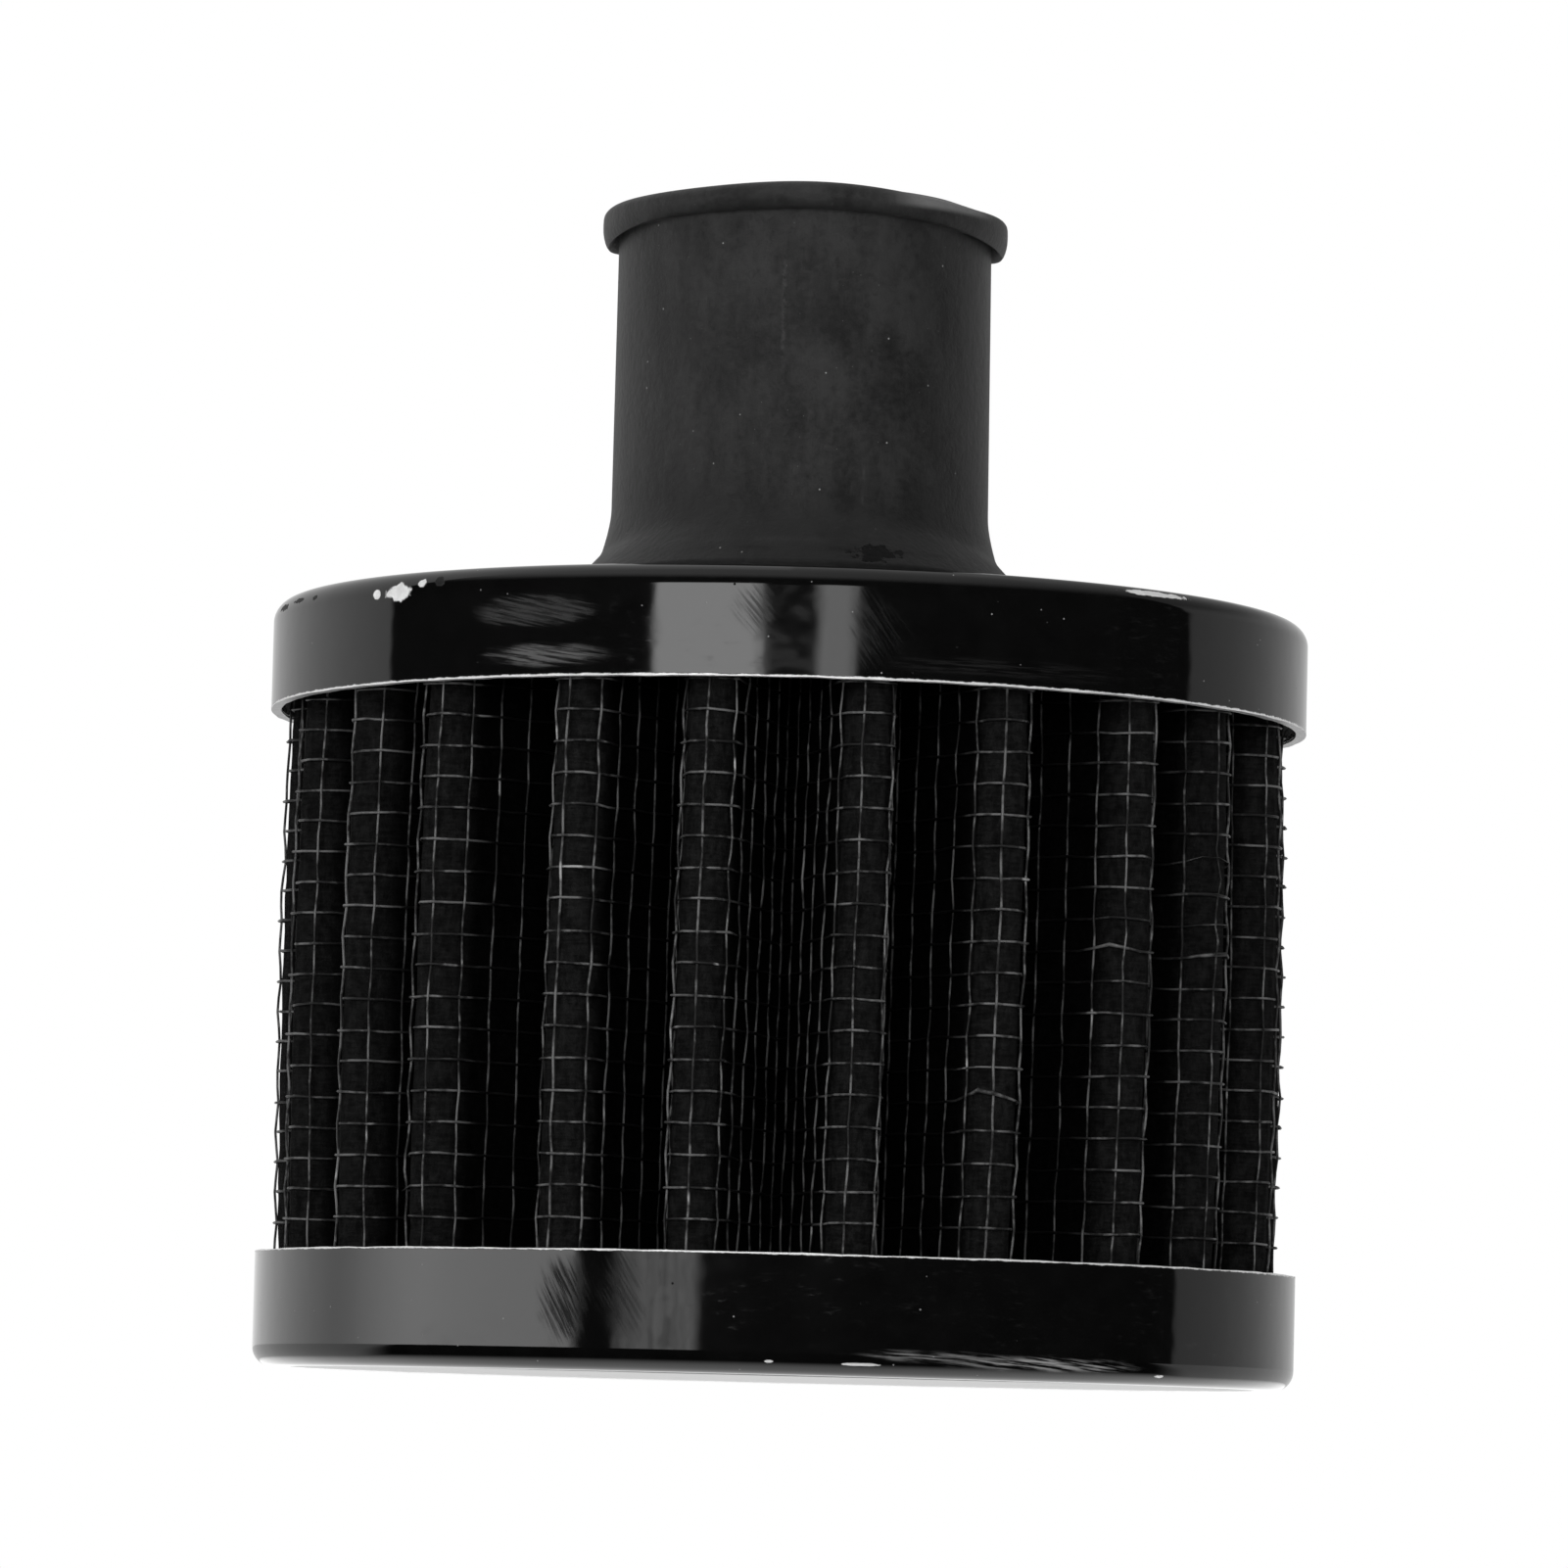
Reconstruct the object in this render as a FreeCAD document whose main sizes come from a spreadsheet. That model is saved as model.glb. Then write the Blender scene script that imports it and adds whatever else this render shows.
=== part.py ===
"""A small push-on crankcase breather filter, in millimetres.

A pleated pack of gauze between two layers of wire mesh is sealed with cast resin into two pressed
steel caps. A moulded rubber neck grips the hole in the top cap like a grommet and pushes onto the
breather pipe. The origin is at the middle of the bottom cap's outer face, with +Z up the neck.
"""

import FreeCAD
import Part
import Sketcher
import math
import os
import re

from FreeCAD import Vector

SIZES = [
    # steel caps
    ("cap_diameter", 51.0, "outside diameter of both caps"),
    ("cap_sheet", 0.5, "thickness of the caps' steel sheet"),
    ("bottom_skirt", 5.6, "height of the bottom cap"),
    ("top_skirt", 5.3, "height of the top cap"),
    ("open_pack", 26.6, "height of filter seen between the two caps"),
    ("shoulder_radius", 1.1, "outside radius of the pressed corner of each cap"),
    ("neck_hole", 19.0, "diameter of the hole in the top cap"),
    # cast resin
    ("resin_recess", 1.5, "depth of the resin's face below the rim of its cap"),
    ("resin_clearance", 0.05, "gap between the resin's edge and the cap's wall"),
    ("core_hole", 24.8, "diameter of the hole through the top resin"),
    # pleated pack
    ("pleat_count", 23, "number of pleats"),
    ("pack_clearance", 0.35, "gap between the outer mesh and the caps' walls"),
    ("core_diameter", 25.7, "diameter inside the inner mesh"),
    ("media_thickness", 0.9, "thickness of the gauze"),
    ("mesh_thickness", 0.4, "thickness of each layer of woven wire mesh"),
    ("layer_gap", 0.05, "gap between the gauze and each mesh"),
    ("window_rows", 2, "rows of gaps in each flank of the outer mesh"),
    ("window_margin", 1.0, "width of mesh left round each gap"),
    # rubber neck
    ("bore_diameter", 12.0, "bore of the neck, for a 12 mm pipe"),
    ("bore_chamfer", 0.6, "chamfer at both ends of the bore"),
    ("neck_height", 20.4, "height of the neck above the top cap"),
    ("neck_top_diameter", 18.4, "outside diameter of the neck below its lip"),
    ("neck_base_diameter", 18.75, "outside diameter of the neck above its flare"),
    ("lip_diameter", 19.9, "diameter of the rolled lip"),
    ("lip_height", 2.2, "height of the rolled lip"),
    ("lip_round", 0.7, "radius of the lip's edges"),
    ("base_diameter", 23.6, "diameter of the flange that sits on the top cap"),
    ("base_thickness", 1.3, "thickness of that flange at its edge"),
    ("flare_height", 2.4, "height of the cone from that flange up to the neck"),
    ("flare_radius", 1.9, "radius between that cone and the neck"),
    ("grip_diameter", 23.0, "diameter of the flange under the top cap's sheet"),
    ("grip_thickness", 1.5, "thickness of that flange"),
    ("grip_chamfer", 0.6, "lead-in chamfer of that flange"),
    ("groove_clearance", 0.1, "gap between the edge of the cap's hole and the neck's groove"),
]

# heights that follow from the sizes
TOP_RIM = "(bottom_skirt + open_pack)"
CAP_TOP = "(bottom_skirt + open_pack + top_skirt)"
SHEET_UNDERSIDE = f"({CAP_TOP} - cap_sheet)"
BOTTOM_RESIN_FACE = "(bottom_skirt - resin_recess)"
TOP_RESIN_FACE = f"({TOP_RIM} + resin_recess)"
GRIP_BOTTOM = f"({SHEET_UNDERSIDE} - grip_thickness)"
BASE_EDGE = f"({CAP_TOP} + base_thickness)"
FLARE_TOP = f"({BASE_EDGE} + flare_height)"
NECK_TOP = f"({CAP_TOP} + neck_height)"
LIP_BOTTOM = f"({NECK_TOP} - lip_height)"

# radii that follow from the sizes
CAP_WALL = "(cap_diameter / 2 - cap_sheet)"
PACK_RADIUS = f"({CAP_WALL} - pack_clearance)"
INNER_SHOULDER = "(shoulder_radius - cap_sheet)"

# lean of each crest from an even spacing, in degrees, as the folds of a real pack wander
CREST_LEAN = [3.5, 0.7, -2.5, -0.1, -1.5, 0.5, -0.2, 0.5, -0.7, -0.2, 1.2, -0.8,
              0.6, 1.9, -1.1, 0.3, -1.6, 0.9, 1.4, -0.6, -1.3, 0.8, 1.6]
# place of the first of those crests, in degrees from the front, positive to the right
FIRST_CREST = -69.8


def bound(text):
    """Spell an expression in the sheet's names as the document reads it."""
    return re.sub(r"[a-z_]+", lambda word: "Sizes." + word.group(), text)


def make_sheet(doc):
    """Write the driving dimensions, with their names and meanings, into the document's sheet."""
    sheet = doc.addObject("Spreadsheet::Sheet", "Sizes")
    for row, (alias, value, meaning) in enumerate(SIZES, start=1):
        sheet.set(f"A{row}", alias)
        sheet.set(f"B{row}", str(value))
        sheet.set(f"C{row}", meaning)
        sheet.setAlias(f"B{row}", alias)
    doc.recompute()
    return sheet


def turned_body(doc, name, corners):
    """Make a body by revolving a closed profile about the Z axis.

    Each corner is a pair of expressions, its radius and its height, and two dimensions of the sketch
    bound to them hold it in place. A radius or height of "0" puts the corner on that axis instead.
    """
    body = doc.addObject("PartDesign::Body", name)
    body.Label = name
    sketch = body.newObject("Sketcher::SketchObject", name + "_profile")
    plane = next(item for item in body.Origin.OriginFeatures if item.Role == "XZ_Plane")
    sketch.AttachmentSupport = [(plane, "")]
    sketch.MapMode = "FlatFace"
    places = [Vector(measure(sketch, radius), measure(sketch, height), 0)
              for radius, height in corners]
    for here, there in zip(places, places[1:] + places[:1]):
        sketch.addGeometry(Part.LineSegment(here, there), False)
    for index, (radius, height) in enumerate(corners):
        before = (index - 1) % len(corners)
        sketch.addConstraint(Sketcher.Constraint("Coincident", before, 2, index, 1))
        hold(sketch, index, "DistanceX", radius, places[index].x, -2)
        hold(sketch, index, "DistanceY", height, places[index].y, -1)
    solid = body.newObject("PartDesign::Revolution", name + "_turned")
    solid.Profile = sketch
    solid.ReferenceAxis = (sketch, ["V_Axis"])
    solid.Angle = 360
    body.Tip = solid
    doc.recompute()
    return body


def measure(item, expression):
    """Value of an expression in the sheet's names, worked out by an object of the document."""
    return float(item.evalExpression(bound(expression)))


def hold(sketch, line, kind, expression, value, axis):
    """Dimension the first end of a line from the sketch's origin, or put it on the axis."""
    if expression == "0":
        sketch.addConstraint(Sketcher.Constraint("PointOnObject", line, 1, axis))
        return
    number = sketch.addConstraint(Sketcher.Constraint(kind, -1, 1, line, 1, value))
    sketch.setExpression(f"Constraints[{number}]", bound(expression))


def round_edges(body, name, radius, rings):
    """Fillet the body's circular edges that lie at the given pairs of radius and height."""
    solid = body.Tip
    wanted = [(measure(solid, ring), measure(solid, height)) for ring, height in rings]
    edges = [f"Edge{number}" for number, edge in enumerate(solid.Shape.Edges, start=1)
             if isinstance(edge.Curve, Part.Circle)
             and any(abs(edge.Curve.Radius - ring) < 1e-4 and abs(edge.Curve.Center.z - height) < 1e-4
                     for ring, height in wanted)]
    fillet = body.newObject("PartDesign::Fillet", name)
    fillet.Base = (solid, edges)
    fillet.setExpression("Radius", bound(radius))
    body.Tip = fillet
    body.Document.recompute()


def make_bottom_cap(doc):
    """A closed cup of pressed sheet, whose outer face the filter can stand on."""
    body = turned_body(doc, "bottom_cap", [
        ("0", "0"),
        ("cap_diameter / 2", "0"),
        ("cap_diameter / 2", "bottom_skirt"),
        (CAP_WALL, "bottom_skirt"),
        (CAP_WALL, "cap_sheet"),
        ("0", "cap_sheet"),
    ])
    round_edges(body, "bottom_shoulder", "shoulder_radius", [("cap_diameter / 2", "0")])
    round_edges(body, "bottom_inner_shoulder", INNER_SHOULDER,
                [(CAP_WALL, "cap_sheet")])


def make_top_cap(doc):
    """The same cup upside down, with the neck's hole pierced in it."""
    body = turned_body(doc, "top_cap", [
        ("neck_hole / 2", CAP_TOP),
        ("cap_diameter / 2", CAP_TOP),
        ("cap_diameter / 2", TOP_RIM),
        (CAP_WALL, TOP_RIM),
        (CAP_WALL, SHEET_UNDERSIDE),
        ("neck_hole / 2", SHEET_UNDERSIDE),
    ])
    round_edges(body, "top_shoulder", "shoulder_radius", [("cap_diameter / 2", CAP_TOP)])
    round_edges(body, "top_inner_shoulder", INNER_SHOULDER,
                [(CAP_WALL, SHEET_UNDERSIDE)])


def make_resin(doc):
    """Resin cast into each cap: a disc that closes the bottom, and a ring round the neck's flange."""
    edge = f"{CAP_WALL} - resin_clearance"
    turned_body(doc, "bottom_potting", [
        ("0", "cap_sheet"),
        (f"{edge} - {INNER_SHOULDER}", "cap_sheet"),
        (edge, f"cap_sheet + {INNER_SHOULDER}"),
        (edge, BOTTOM_RESIN_FACE),
        ("0", BOTTOM_RESIN_FACE),
    ])
    turned_body(doc, "top_potting", [
        ("core_hole / 2", TOP_RESIN_FACE),
        (edge, TOP_RESIN_FACE),
        (edge, f"{SHEET_UNDERSIDE} - {INNER_SHOULDER}"),
        (f"{edge} - {INNER_SHOULDER}", SHEET_UNDERSIDE),
        ("core_hole / 2", SHEET_UNDERSIDE),
    ])


def make_neck(doc):
    """The rubber moulding, from the flange under the sheet, through the hole, up to the rolled lip."""
    groove = "neck_hole / 2 - groove_clearance"
    body = turned_body(doc, "neck", [
        ("bore_diameter / 2", f"{GRIP_BOTTOM} + bore_chamfer"),
        ("bore_diameter / 2 + bore_chamfer", GRIP_BOTTOM),
        ("grip_diameter / 2 - grip_chamfer", GRIP_BOTTOM),
        ("grip_diameter / 2", f"{GRIP_BOTTOM} + grip_chamfer"),
        ("grip_diameter / 2", SHEET_UNDERSIDE),
        (groove, SHEET_UNDERSIDE),
        (groove, CAP_TOP),
        ("base_diameter / 2", CAP_TOP),
        ("base_diameter / 2", BASE_EDGE),
        ("neck_base_diameter / 2", FLARE_TOP),
        ("neck_top_diameter / 2", LIP_BOTTOM),
        ("lip_diameter / 2", LIP_BOTTOM),
        ("lip_diameter / 2", NECK_TOP),
        ("bore_diameter / 2 + bore_chamfer", NECK_TOP),
        ("bore_diameter / 2", f"{NECK_TOP} - bore_chamfer"),
    ])
    round_edges(body, "flare", "flare_radius", [("neck_base_diameter / 2", FLARE_TOP)])
    round_edges(body, "rolled_lip", "lip_round",
                [("lip_diameter / 2", LIP_BOTTOM), ("lip_diameter / 2", NECK_TOP)])


def polar(radius, degrees):
    """A point at an angle from the front, positive to the right, seen from above."""
    return Vector(radius * math.sin(math.radians(degrees)), -radius * math.cos(math.radians(degrees)), 0)


class Pleats:
    """The folded centre line of the gauze, from which every layer's faces are offset.

    The gauze is folded flat upon itself, so its centre line turns on a radius of half its thickness
    about the centre of each crest and each inner fold, and runs straight between them.
    """

    def __init__(self, sheet, pack_radius):
        count = int(sheet.pleat_count)
        pitch = 360 / count
        self.fold = sheet.media_thickness / 2
        reach = 2 * self.fold + sheet.layer_gap + sheet.mesh_thickness
        crest_ring = pack_radius - reach
        inner_ring = sheet.core_diameter / 2 + reach
        self.crests = [polar(crest_ring, self.crest_angle(index, pitch)) for index in range(count)]
        self.inner_folds = [polar(inner_ring, FIRST_CREST + pitch * (index + 0.5))
                            for index in range(count)]
        self.falling = [self.flank_normal(crest, self.inner_folds[index], 1)
                        for index, crest in enumerate(self.crests)]
        self.rising = [self.flank_normal(crest, self.inner_folds[index - 1], -1)
                       for index, crest in enumerate(self.crests)]

    @staticmethod
    def crest_angle(index, pitch):
        return FIRST_CREST + pitch * index + CREST_LEAN[index % len(CREST_LEAN)]

    def flank_normal(self, crest, inner_fold, side):
        """Outward normal of the flank that crosses from one side of a crest to an inner fold."""
        run = inner_fold - crest
        cosine = 2 * self.fold / run.Length
        run.normalize()
        across = Vector(-run.y, run.x, 0) * -side
        return run * cosine + across * math.sqrt(1 - cosine * cosine)

    @staticmethod
    def turn_fold(centre, radius, side, before, after):
        """Points of one fold between two flanks, given by their outward normals.

        They are the ends and middle of its arc, or its one corner where the offset leaves no radius.
        Side is 1 for a crest, which bulges outwards, and -1 for an inner fold.
        """
        middle = before + after
        if radius <= 1e-6:
            return [centre + middle * (side * radius / (1 + before.dot(after)))]
        middle.normalize()
        return [centre + direction * (side * radius) for direction in (before, middle, after)]

    def outline(self, offset):
        """The closed wire that runs parallel to the folded centre line, positive offsets outside it."""
        folds = []
        for index, crest in enumerate(self.crests):
            after = (index + 1) % len(self.crests)
            folds.append(self.turn_fold(crest, self.fold + offset, 1,
                                        self.rising[index], self.falling[index]))
            folds.append(self.turn_fold(self.inner_folds[index], self.fold - offset, -1,
                                        self.falling[index], self.rising[after]))
        edges = []
        for fold, after in zip(folds, folds[1:] + folds[:1]):
            if len(fold) == 3:
                edges.append(Part.Arc(*fold).toShape())
            edges.append(Part.LineSegment(fold[-1], after[0]).toShape())
        return Part.Wire(edges)

    def wall(self, inside, outside, height):
        """A pleated wall between two offsets of the centre line."""
        rings = [self.outline(outside), self.outline(inside)]
        return Part.makeFace(rings, "Part::FaceMakerBullseye").extrude(Vector(0, 0, height))


def flank_windows(pleats, sheet, near, far, height):
    """Blocks to cut through the flanks of a pleated wall that lies between two offsets."""
    margin = sheet.window_margin
    rows = int(sheet.window_rows)
    pitch = (height - margin) / rows
    depth = far - near + 2 * sheet.layer_gap
    blocks = []
    for index, crest in enumerate(pleats.crests):
        after = (index + 1) % len(pleats.crests)
        flanks = [(pleats.rising[index], pleats.falling[index - 1], pleats.inner_folds[index - 1], -1),
                  (pleats.falling[index], pleats.rising[after], pleats.inner_folds[index], 1)]
        for normal, facing, fold, side in flanks:
            corner = pleats.turn_fold(fold, pleats.fold - far, -1, normal, facing)[0]
            along = Vector(normal.y, -normal.x, 0) * side
            length = (corner - crest).dot(along) - 2 * margin
            start = crest + along * margin + normal * (near - sheet.layer_gap)
            end = start + along * length
            across = normal * depth
            foot = Part.Face(Part.makePolygon([start, end, end + across, start + across, start]))
            block = foot.extrude(Vector(0, 0, pitch - margin))
            blocks += [block.translated(Vector(0, 0, margin + row * pitch)) for row in range(rows)]
    return blocks


def make_pack(doc, sheet):
    """The gauze and the two layers of mesh folded with it, standing between the two resin faces."""
    ruler = doc.getObject("neck").Tip
    foot = measure(ruler, BOTTOM_RESIN_FACE)
    height = measure(ruler, TOP_RESIN_FACE) - foot
    pleats = Pleats(sheet, measure(ruler, PACK_RADIUS))
    near = pleats.fold + sheet.layer_gap
    far = near + sheet.mesh_thickness
    windows = Part.makeCompound(flank_windows(pleats, sheet, near, far, height))
    layers = {
        "filter_media": pleats.wall(-pleats.fold, pleats.fold, height),
        "outer_mesh": pleats.wall(near, far, height).cut(windows),
        "inner_mesh": pleats.wall(-far, -near, height),
    }
    for name, shape in layers.items():
        layer = doc.addObject("Part::Feature", name)
        layer.Label = name
        layer.Shape = shape
        layer.Placement = FreeCAD.Placement(Vector(0, 0, foot), FreeCAD.Rotation())


NODES = ["neck", "top_cap", "bottom_cap", "top_potting", "bottom_potting",
         "filter_media", "outer_mesh", "inner_mesh"]


def check(doc):
    """Stop if any object failed to recompute or any sub-part isn't one sound solid."""
    for item in doc.Objects:
        if any(state in ("Invalid", "Error") for state in item.State):
            raise SystemExit(f"{item.Label} failed: {item.State}")
    for name in NODES:
        shape = doc.getObject(name).Shape
        if shape.isNull() or not shape.isValid() or len(shape.Solids) != 1:
            raise SystemExit(f"{name} isn't one sound solid")


def main():
    doc = FreeCAD.newDocument("breather_filter")
    sheet = make_sheet(doc)
    make_bottom_cap(doc)
    make_top_cap(doc)
    make_resin(doc)
    make_neck(doc)
    make_pack(doc, sheet)
    doc.recompute()
    check(doc)
    os.makedirs("parts", exist_ok=True)
    for name in NODES:
        doc.getObject(name).Shape.exportStep(f"parts/{name}.step")
        print(name, round(doc.getObject(name).Shape.Volume, 1), "mm3")


main()
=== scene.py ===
"""A small push-on crankcase breather filter, dressed for its portrait.

The steel caps, the rubber neck, the pleated gauze and the woven wire are modelled here round the
fixed frame of the construction model. Lengths are written in millimetres and made metres by MM.
"""

import math
import random

import bmesh
import bpy
import numpy as np
from mathutils import Matrix, Vector, noise


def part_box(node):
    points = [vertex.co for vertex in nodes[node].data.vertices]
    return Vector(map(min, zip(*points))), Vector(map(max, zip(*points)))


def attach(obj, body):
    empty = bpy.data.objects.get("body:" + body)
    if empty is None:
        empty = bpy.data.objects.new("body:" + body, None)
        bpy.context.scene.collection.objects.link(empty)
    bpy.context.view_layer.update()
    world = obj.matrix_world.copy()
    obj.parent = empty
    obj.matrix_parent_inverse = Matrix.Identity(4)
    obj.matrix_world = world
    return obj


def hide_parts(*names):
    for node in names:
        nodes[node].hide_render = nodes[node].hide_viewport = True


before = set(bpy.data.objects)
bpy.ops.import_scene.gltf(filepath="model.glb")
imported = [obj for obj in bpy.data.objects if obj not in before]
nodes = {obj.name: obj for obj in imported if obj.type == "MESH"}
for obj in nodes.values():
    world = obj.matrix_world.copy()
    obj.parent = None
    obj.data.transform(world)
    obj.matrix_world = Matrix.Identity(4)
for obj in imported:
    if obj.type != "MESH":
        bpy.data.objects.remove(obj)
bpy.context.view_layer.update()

MM = 0.001

# sizes of the frame
TOP_LOW, TOP_HIGH = (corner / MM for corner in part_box("top_cap"))
BOTTOM_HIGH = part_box("bottom_cap")[1] / MM
NECK_LOW, NECK_HIGH = (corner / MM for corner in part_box("neck"))
PACK_LOW, PACK_HIGH = (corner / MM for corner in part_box("filter_media"))
CAP_RADIUS = TOP_HIGH.x

# steel caps; the guard is how far beside a bend its neighbouring rings stand, to keep flats flat
CAP_SHEET = 0.5
SHOULDER = 1.0
BEND_GUARD = 0.04
NECK_HOLE_RADIUS = 9.5
WALL_WAVE = 0.018
RIM_RAG = 0.022
RIM_RAG_REACH = 0.3
CAP_STEP = 1.2
TOP_BARE_EDGE = 0.085
BOTTOM_BARE_EDGE = 0.065

# rubber neck; a point past the outside radius belongs to its outer skin
BORE_RADIUS = 6.0
BORE_CHAMFER = 0.6
GRIP_RADIUS = 11.5
BASE_RADIUS = 11.65
BASE_THICKNESS = 1.75
FLARE_HEIGHT = 2.4
FLARE_FILLET = 2.6
NECK_BASE_RADIUS = 9.31
NECK_TOP_RADIUS = 9.23
LIP_RADIUS = 10.03
LIP_HEIGHT = 1.3
LIP_ROUND = 0.6
LIP_DROOP = 0.9
DROOP_TOP = 0.45
DROOP_INSET = 0.05
DROOP_REACH = 0.5
BASE_ROUND = 0.3
BASE_ROUND_DROP = 0.2
ROOT_ROUND = 0.2
GROOVE_GAP = 0.1
OUTSIDE_RADIUS = 8.0
FOOT_LEAN = 0.3
LEAN_LOSS = 0.08
NECK_SWELL = 0.025
NECK_STEP = 0.8

# wear of the lip's top: everywhere, away from its full spot, and at its worn spot; a spot is a
# bearing and a width in degrees
WORN_EVENLY = 0.05
WORN_AROUND = 0.3
FULL_SPOT = (2, 32)
WORN_SIDE = 0.2
WORN_SPOT = (56, 26)
WORN_REACH = 5.0
WORN_SKIN = 1.5

# pleated pack; the front crests have the photograph's bearings in degrees, the rest are spread out
PLEATS = 23
FOLD_RADIUS = 0.45
CREST_RING = 23.3
INNER_FOLD_RING = 14.2
FRONT_CRESTS = [-73.5, -57.4, -43.4, -24.8, -9.3, 8.8, 25.2, 43.3, 58.0, 76.0]
PACK_BULGE = 0.22
PACK_TWIST = 0.5
SWELL_DEPTH = 9.0
GAUZE_OFFSET = 0.62
GAUZE_THICKNESS = 1.0
GAUZE_SWELL = 0.07
INNER_OFFSET = -0.5
INNER_THICKNESS = 0.3
WALL_SPACING = 0.55
GAUZE_ROWS = 36
INNER_ROWS = 6
SWELL_SCALE = 0.9
FOLD_STEPS = 14
CREST_LEAN = 0.8
PLEAT_CREASE = 60

# woven wire; painted shade darkens a given share of its colour behind the crests
MESH_OFFSET = 0.78
WIRE_RADIUS = 0.062
HOOP_CRIMP = 0.11
UPRIGHT_CRIMP = 0.05
ROW_PITCH = 1.48
WARP_PITCH = 1.65
WIRE_SIDES = 4
WIRE_WANDER = 0.3
WANDER_SCALE = 0.38
END_MARGIN = 0.3
CAP_MARGIN = 0.1
UPRIGHT_LIFT = 0.15
SNAG_SQUASH = 1.6
HOOP_SHADE_SHARE = 0.97
UPRIGHT_SHADE_SHARE = 0.45
SHADE_DEPTH = 1.6
DEEP_SHADE_RING = 20

# the photograph's camera, in millimetres, radians and pixels of the photograph
PHOTO_PIXELS = 1601
FOCAL_PIXELS = 8369.4
CAMERA_DISTANCE = 402.9
CAMERA_HEIGHT = -3.46
CAMERA_PITCH = 0.0811
CAMERA_YAW = -0.0004
CAMERA_ROLL = 0.0253
SENSOR_WIDTH = 36.0
CLIP_NEAR = 10.0
CLIP_FAR = 20000.0


def add_object(name, data):
    """A new object in the scene that shows the data."""
    made = bpy.data.objects.new(name, data)
    bpy.context.scene.collection.objects.link(made)
    return made


def make_camera():
    """Stand the camera where the photograph was taken, a little below the bottom cap's face."""
    forward = Vector((math.sin(CAMERA_YAW) * math.cos(CAMERA_PITCH),
                      math.cos(CAMERA_YAW) * math.cos(CAMERA_PITCH), math.sin(CAMERA_PITCH)))
    level = Vector((math.cos(CAMERA_YAW), -math.sin(CAMERA_YAW), 0))
    upright = level.cross(forward)
    right = level * math.cos(CAMERA_ROLL) + upright * math.sin(CAMERA_ROLL)
    up = upright * math.cos(CAMERA_ROLL) - level * math.sin(CAMERA_ROLL)
    camera = add_object("camera", bpy.data.cameras.new("camera"))
    place = Vector((0, -CAMERA_DISTANCE, CAMERA_HEIGHT)) * MM
    turn = Matrix((right, up, -forward)).transposed().to_4x4()
    camera.matrix_world = Matrix.Translation(place) @ turn
    camera.data.sensor_width = SENSOR_WIDTH
    camera.data.lens = FOCAL_PIXELS * SENSOR_WIDTH / PHOTO_PIXELS
    camera.data.clip_start = CLIP_NEAR * MM
    camera.data.clip_end = CLIP_FAR * MM
    bpy.context.scene.camera = camera


# Shader maths


class Value:
    """A socket that takes part in arithmetic, adding a Math node for each operation."""

    def __init__(self, shading, socket):
        self.shading = shading
        self.socket = socket

    def math(self, operation, *others):
        return self.shading.node("ShaderNodeMath", {"operation": operation}, self, *others)["Value"]

    def __add__(self, other):
        return self.math("ADD", other)

    __radd__ = __add__

    def __mul__(self, other):
        return self.math("MULTIPLY", other)

    def __sub__(self, other):
        return self.math("SUBTRACT", other)

    def __rsub__(self, other):
        return self * -1 + other

    def __truediv__(self, other):
        return self.math("DIVIDE", other)

    def bigger(self, other):
        return self.math("MAXIMUM", other)

    def absolute(self):
        return self.math("ABSOLUTE")

    def root(self):
        return self.math("SQRT")

    def fade(self, low, high):
        """0 at low and 1 at high, smooth between them; low may be the larger."""
        if low > high:
            return 1 - self.fade(high, low)
        return self.shading.node("ShaderNodeMapRange", {"interpolation_type": "SMOOTHSTEP"},
                                 self, low, high, 0.0, 1.0)["Result"]

    def within(self, low, high, soft):
        """1 between low and high, fading out over soft at each side."""
        return self.fade(low - soft, low + soft) * self.fade(high + soft, high - soft)


class Shading:
    """Adds nodes to a shader tree."""

    def __init__(self, tree):
        self.tree = tree

    def node(self, kind, settings, *inputs, **named):
        """Add a node, set it, feed its sockets in order or by name, and give its outputs by name."""
        node = self.tree.nodes.new(kind)
        for setting, value in settings.items():
            setattr(node, setting, value)
        for socket, value in zip(node.inputs, inputs):
            self.feed(socket, value)
        for name, value in named.items():
            self.feed(node.inputs[name.replace("_", " ")], value)
        return {output.name: Value(self, output) for output in node.outputs}

    def feed(self, socket, value):
        """Link a value to a socket, or set the socket to a constant."""
        if isinstance(value, Value):
            self.tree.links.new(value.socket, socket)
        else:
            socket.default_value = value

    def vector(self, operation, *inputs, **named):
        """Add a Vector Math node, and give its result: a number for LENGTH, else a vector."""
        result = "Value" if operation == "LENGTH" else "Vector"
        return self.node("ShaderNodeVectorMath", {"operation": operation}, *inputs, **named)[result]

    def clouds(self, where, scale, detail, rough):
        """Noise from 0 to 1 at a place."""
        return self.node("ShaderNodeTexNoise", {}, Vector=where, Scale=scale, Detail=detail,
                         Roughness=rough)["Fac"]

    def blend(self, factor, low, high):
        """Mix two colours."""
        node = self.tree.nodes.new("ShaderNodeMix")
        node.data_type = "RGBA"
        colours = [socket for socket in node.inputs if socket.type == "RGBA"]
        self.feed(node.inputs["Factor"], factor)
        self.feed(colours[0], low)
        self.feed(colours[1], high)
        return Value(self, next(socket for socket in node.outputs if socket.type == "RGBA"))


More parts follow.
